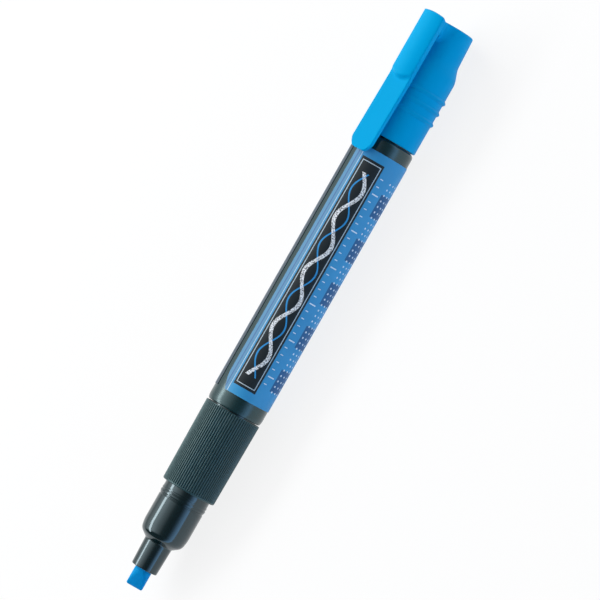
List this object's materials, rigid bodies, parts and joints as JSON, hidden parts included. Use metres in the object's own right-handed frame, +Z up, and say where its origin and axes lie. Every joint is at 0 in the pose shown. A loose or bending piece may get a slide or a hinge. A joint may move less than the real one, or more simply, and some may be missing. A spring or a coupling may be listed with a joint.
{
  "type": "chalk marker",
  "caption": "Valve-action chalk marker with chisel nib, fluted grip, wrapped label film and clip cap posted on its tail.",
  "frame": {"origin": "bottom centre of the bounding box: the marker lies level, posted cap's ridges on the surface", "axes": "+X along the pen from the nib to the cap end, +Z up with the pocket clip on top, +Y across the pen"},
  "size_m": [0.155, 0.0154, 0.0182],
  "materials": {
    "black_gloss": "polished injection-moulded polypropylene, near black",
    "black_matt": "spark-eroded matt moulding, dark grey, finely fluted",
    "blue_moulding": "satin-gloss injection-moulded polypropylene, bright blue",
    "blue_fibre": "pressed polyester fibre soaked with blue ink",
    "label_film": "printed polypropylene film, semi-gloss",
    "natural_moulding": "unpigmented polypropylene, milky",
    "black_rubber": "soft black sealing rubber",
    "steel": "bright stainless steel"
  },
  "bodies": {
    "pen": {"front_section": "black_gloss", "grip_sleeve": "black_matt", "barrel": "black_gloss", "barrel_label": "label_film", "nib_guide": "natural_moulding", "valve_body": "natural_moulding", "valve_seat": "black_rubber", "valve_retainer": "natural_moulding", "valve_spring": "steel"},
    "plunger": {"nib": "blue_fibre", "valve_stem": "natural_moulding"},
    "front_ball": {"mixing_ball_1": "steel"},
    "rear_ball": {"mixing_ball_2": "steel"},
    "cap": {"cap_body": "blue_moulding", "inner_cap": "natural_moulding"},
    "clip": {"pocket_clip": "blue_moulding"}
  },
  "joints": [
    {"name": "nib_press", "type": "slide", "parent": "pen", "child": "plunger", "axis": [1, 0, 0], "range_m": [0, 0.0016], "stiffness_N_per_m": 300, "springref_m": -0.003, "deforming": ["valve_spring"]},
    {"name": "cap_pull", "type": "slide", "parent": "pen", "child": "cap", "axis": [1, 0, 0], "range_m": [0, 0.02]},
    {"name": "clip_flex", "type": "hinge", "parent": "cap", "child": "clip", "pos_m": [0.07649, 0, 0.01411], "axis": [0, 1, 0], "range_deg": [0, 4], "stiffness_Nm_per_rad": 1},
    {"name": "front_ball_travel", "type": "slide", "parent": "pen", "child": "front_ball", "axis": [-1, 0, 0], "range_m": [0, 0.05]},
    {"name": "rear_ball_travel", "type": "slide", "parent": "pen", "child": "rear_ball", "axis": [-1, 0, 0], "range_m": [0, 0.05]}
  ],
  "couplings": [
    {"joint": "rear_ball_travel", "follows": "front_ball_travel", "ratio": 1}
  ]
}
